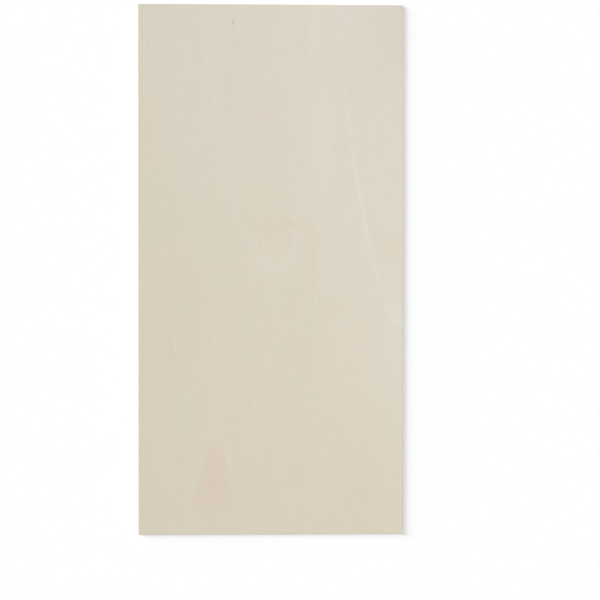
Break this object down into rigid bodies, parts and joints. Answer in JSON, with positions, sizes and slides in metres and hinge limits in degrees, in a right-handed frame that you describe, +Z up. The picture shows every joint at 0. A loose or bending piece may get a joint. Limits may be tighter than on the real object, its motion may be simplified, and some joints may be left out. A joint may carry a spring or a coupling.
{
  "type": "plywood sheet",
  "caption": "Thin flat sheet of pale craft plywood with faint arched grain, sanded faces and square sawn edges.",
  "frame": {"origin": "centre of the back face, where the sheet lies on the floor", "axes": "+X across the grain of the faces, to the right in the picture; +Y along the grain, to the top of the picture; +Z up through the plies and out of the front face"},
  "size_m": [0.305, 0.61, 0.003],
  "materials": {
    "veneer": "matte"
  },
  "bodies": {
    "root": {"plywood_sheet": "veneer"}
  },
  "joints": []
}
